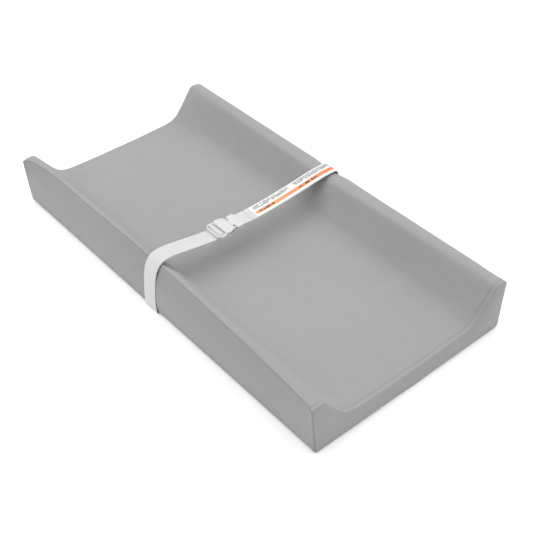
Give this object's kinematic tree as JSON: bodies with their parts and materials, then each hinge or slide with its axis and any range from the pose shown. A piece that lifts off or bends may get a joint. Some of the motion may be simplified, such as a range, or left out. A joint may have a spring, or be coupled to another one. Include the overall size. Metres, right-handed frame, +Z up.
{
  "type": "changing pad",
  "caption": "Rectangular contoured changing pad with raised side rails, a removable grey fabric cover and a white waist strap with a side-release buckle.",
  "frame": {"origin": "middle of the underside, on the surface the pad lies on", "axes": "+X along the length towards the foot end, +Y across towards the plug side of the strap, +Z up"},
  "size_m": [0.813, 0.4192, 0.1089],
  "materials": {
    "cover": "light grey fine-knit polyester, matt",
    "base_fabric": "grey quilted non-slip backing, matt",
    "liner": "white coated waterproof liner, satin",
    "foam": "open-cell polyurethane foam, cream",
    "webbing": "white woven webbing, matt",
    "label": "white satin ribbon, plain",
    "buckle": "white moulded acetal, semi-gloss",
    "zip_tape": "grey woven tape",
    "zip_coil": "grey nylon coil",
    "zip_metal": "plated zinc"
  },
  "bodies": {
    "root": {"cover_top_panel": "cover", "cover_side_far": "cover", "cover_side_near": "cover", "cover_end_foot": "cover", "cover_end_head": "cover", "cover_base_far": "base_fabric", "cover_base_near": "base_fabric", "strap_patch_near": "base_fabric", "strap_patch_far": "base_fabric", "liner_top": "liner", "liner_bottom": "liner", "liner_end_foot": "liner", "liner_end_head": "liner", "foam_slab": "foam", "foam_rail_far": "foam", "foam_rail_near": "foam", "strap_near_run": "webbing", "strap_far_side": "webbing", "strap_far_run": "webbing", "label_ribbon": "label", "care_label": "label", "buckle_socket": "buckle", "zip_tape_near": "zip_tape", "zip_tape_far": "zip_tape", "zip_coil_near": "zip_coil", "zip_coil_far": "zip_coil", "zip_stop_head": "zip_metal", "zip_stop_foot": "zip_metal"},
    "plug": {"buckle_plug": "buckle", "strap_far_loop": "webbing"},
    "prong_foot": {"buckle_prong_foot": "buckle"},
    "prong_head": {"buckle_prong_head": "buckle"},
    "zip_slider": {"zip_slider": "zip_metal"},
    "zip_pull": {"zip_pull_tab": "zip_metal"}
  },
  "joints": [
    {"name": "plug_slide", "type": "slide", "parent": "root", "child": "plug", "axis": [0, 1, 0], "range_m": [0, 0.007], "stiffness_N_per_m": 200, "deforming": ["strap_far_run", "label_ribbon"]},
    {"name": "prong_foot_flex", "type": "hinge", "parent": "plug", "child": "prong_foot", "pos_m": [0.0095, -0.0305, 0.0945], "axis": [0, 0, 1], "range_deg": [-19.3, 0]},
    {"name": "prong_head_flex", "type": "hinge", "parent": "plug", "child": "prong_head", "pos_m": [-0.0155, -0.0305, 0.0945], "axis": [0, 0, 1], "range_deg": [0, 19.3]},
    {"name": "zip_slide", "type": "slide", "parent": "root", "child": "zip_slider", "axis": [1, 0, 0], "range_m": [0, 0.672]},
    {"name": "zip_pull_hinge", "type": "hinge", "parent": "zip_slider", "child": "zip_pull", "pos_m": [-0.3365, 0, 0.0013], "axis": [0, 1, 0], "range_deg": [0, 150]}
  ],
  "couplings": [
    {"joint": "prong_foot_flex", "follows": "plug_slide", "rad_per_m": -48},
    {"joint": "prong_head_flex", "follows": "plug_slide", "rad_per_m": 48}
  ]
}
